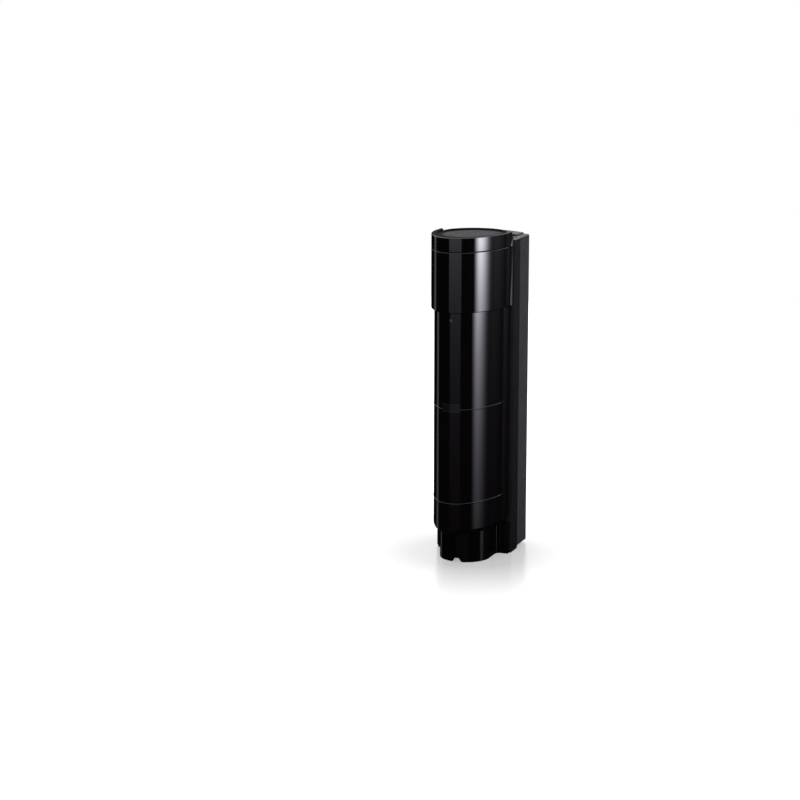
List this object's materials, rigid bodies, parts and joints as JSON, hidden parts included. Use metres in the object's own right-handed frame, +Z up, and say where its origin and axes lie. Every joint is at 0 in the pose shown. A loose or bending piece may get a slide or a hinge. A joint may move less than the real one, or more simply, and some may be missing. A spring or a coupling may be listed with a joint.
{
  "type": "photoelectric beam detector",
  "caption": "Tall black tower that sends or receives infrared safety beams, with a hooded lift-off cover, a slim boot and adjustable lens units inside.",
  "frame": {"origin": "middle of the bottom of the whole tower's box, at the level that it stands on", "axes": "+X across the front, to the right of someone who faces the front; -Y out of the front; +Z up"},
  "size_m": [0.088, 0.135, 0.358],
  "materials": {
    "gloss_black_cover": "high gloss, infrared-transparent black",
    "gloss_black_hood": "high gloss black",
    "gloss_black_cap": "high gloss black",
    "gloss_black_boot": "high gloss black",
    "recess_grey_plastic": "satin dark grey",
    "nameplate_black": "gloss black, bare",
    "charcoal_plastic": "semi-gloss charcoal",
    "graphite_plastic": "satin graphite grey",
    "lamp_lens": "clear white",
    "lens_plum": "moulded lens, plum tint",
    "seal_rubber": "matt black",
    "zinc_steel": "zinc plated",
    "screw_steel": "nickel plated",
    "frame_zinc": "zinc plated, dull",
    "yoke_plastic": "matt grey",
    "optic_black": "matt black",
    "board_green": "solder-mask green",
    "post_nylon": "natural nylon",
    "component_black": "moulded black",
    "relay_white": "white",
    "lamp_red": "translucent red",
    "dial_ivory": "ivory",
    "switch_red": "red",
    "terminal_ivory": "ivory",
    "contact_brass": "plain"
  },
  "bodies": {
    "case": {"mounting_plate": "zinc_steel", "plate_screws": "screw_steel", "wall_seal": "seal_rubber", "rear_housing": "graphite_plastic", "housing_foot": "graphite_plastic", "chassis": "charcoal_plastic", "chassis_screws": "screw_steel", "cover_gasket": "seal_rubber", "cable_grommet": "seal_rubber", "upper_frame": "frame_zinc", "upper_frame_screws": "screw_steel", "lower_frame": "frame_zinc", "lower_frame_screws": "screw_steel", "control_board": "board_green", "board_posts": "post_nylon", "board_parts": "component_black", "alarm_relay": "relay_white", "status_lamps": "lamp_red", "dial_housings": "component_black", "dip_switch": "switch_red", "tamper_switch": "component_black", "monitor_jack": "component_black", "terminal_block": "terminal_ivory", "terminal_screws": "screw_steel", "terminal_clamps": "contact_brass"},
    "cover": {"front_cover": "gloss_black_cover", "hood": "gloss_black_hood", "top_cap": "gloss_black_cap", "cap_plate": "recess_grey_plastic", "bottom_boot": "gloss_black_boot", "nameplate": "nameplate_black", "indicator_lens": "lamp_lens", "screw_seal": "seal_rubber"},
    "cover_screw": {"cover_screw": "screw_steel"},
    "upper_pan": {"upper_yoke": "yoke_plastic"},
    "upper_tilt": {"upper_lens_block": "optic_black", "upper_lenses": "lens_plum", "upper_emitters": "board_green", "upper_sight": "optic_black"},
    "upper_drive": {"upper_tilt_screw": "screw_steel"},
    "upper_nut": {"upper_tilt_nut": "contact_brass"},
    "lower_pan": {"lower_yoke": "yoke_plastic"},
    "lower_tilt": {"lower_lens_block": "optic_black", "lower_lenses": "lens_plum", "lower_emitters": "board_green", "lower_sight": "optic_black"},
    "lower_drive": {"lower_tilt_screw": "screw_steel"},
    "lower_nut": {"lower_tilt_nut": "contact_brass"},
    "channel_dial": {"channel_dial": "dial_ivory"},
    "response_dial": {"response_dial": "dial_ivory"},
    "tamper_plunger": {"tamper_plunger": "post_nylon"},
    "dip_slider_1": {"dip_slider_1": "dial_ivory"},
    "dip_slider_2": {"dip_slider_2": "dial_ivory"},
    "dip_slider_3": {"dip_slider_3": "dial_ivory"},
    "dip_slider_4": {"dip_slider_4": "dial_ivory"}
  },
  "joints": [
    {"name": "cover_slide", "type": "slide", "parent": "case", "child": "cover", "axis": [0, -1, 0], "range_m": [0, 0.11]},
    {"name": "cover_screw_turn", "type": "hinge", "parent": "cover", "child": "cover_screw", "pos_m": [0, 0.004, 0.017], "axis": [0, -1, 0], "range_deg": [0, 1440]},
    {"name": "upper_pan_turn", "type": "hinge", "parent": "case", "child": "upper_pan", "pos_m": [0, -0.0075, 0.285], "axis": [0, 0, 1], "range_deg": [-90, 90]},
    {"name": "upper_tilt_turn", "type": "hinge", "parent": "upper_pan", "child": "upper_tilt", "pos_m": [0, -0.0075, 0.285], "axis": [1, 0, 0], "range_deg": [-10, 10]},
    {"name": "upper_nut_slide", "type": "slide", "parent": "upper_pan", "child": "upper_nut", "axis": [0, 1, 0], "range_m": [-0.0087, 0.0087]},
    {"name": "upper_screw_turn", "type": "hinge", "parent": "upper_pan", "child": "upper_drive", "pos_m": [0, -0.0075, 0.2358], "axis": [0, 1, 0], "range_deg": [-730, 730]},
    {"name": "lower_pan_turn", "type": "hinge", "parent": "case", "child": "lower_pan", "pos_m": [0, -0.0075, 0.137], "axis": [0, 0, 1], "range_deg": [-90, 90]},
    {"name": "lower_tilt_turn", "type": "hinge", "parent": "lower_pan", "child": "lower_tilt", "pos_m": [0, -0.0075, 0.137], "axis": [1, 0, 0], "range_deg": [-10, 10]},
    {"name": "lower_nut_slide", "type": "slide", "parent": "lower_pan", "child": "lower_nut", "axis": [0, 1, 0], "range_m": [-0.0087, 0.0087]},
    {"name": "lower_screw_turn", "type": "hinge", "parent": "lower_pan", "child": "lower_drive", "pos_m": [0, -0.0075, 0.0878], "axis": [0, 1, 0], "range_deg": [-730, 730]},
    {"name": "channel_dial_turn", "type": "hinge", "parent": "case", "child": "channel_dial", "pos_m": [-0.01, 0.019, 0.217], "axis": [0, 1, 0], "range_deg": [0, 270]},
    {"name": "response_dial_turn", "type": "hinge", "parent": "case", "child": "response_dial", "pos_m": [0.003, 0.019, 0.217], "axis": [0, 1, 0], "range_deg": [0, 270]},
    {"name": "tamper_press", "type": "slide", "parent": "case", "child": "tamper_plunger", "axis": [0, 1, 0], "range_m": [0, 0.002], "stiffness_N_per_m": 150, "springref_m": -0.001},
    {"name": "dip_slider_1_move", "type": "slide", "parent": "case", "child": "dip_slider_1", "axis": [0, 0, 1], "range_m": [0, 0.0025]},
    {"name": "dip_slider_2_move", "type": "slide", "parent": "case", "child": "dip_slider_2", "axis": [0, 0, 1], "range_m": [0, 0.0025]},
    {"name": "dip_slider_3_move", "type": "slide", "parent": "case", "child": "dip_slider_3", "axis": [0, 0, 1], "range_m": [0, 0.0025]},
    {"name": "dip_slider_4_move", "type": "slide", "parent": "case", "child": "dip_slider_4", "axis": [0, 0, 1], "range_m": [0, 0.0025]}
  ],
  "couplings": [
    {"joint": "upper_nut_slide", "follows": "upper_tilt_turn", "m_per_rad": 0.0492},
    {"joint": "upper_screw_turn", "follows": "upper_tilt_turn", "ratio": 72},
    {"joint": "lower_nut_slide", "follows": "lower_tilt_turn", "m_per_rad": 0.0492},
    {"joint": "lower_screw_turn", "follows": "lower_tilt_turn", "ratio": 72}
  ]
}
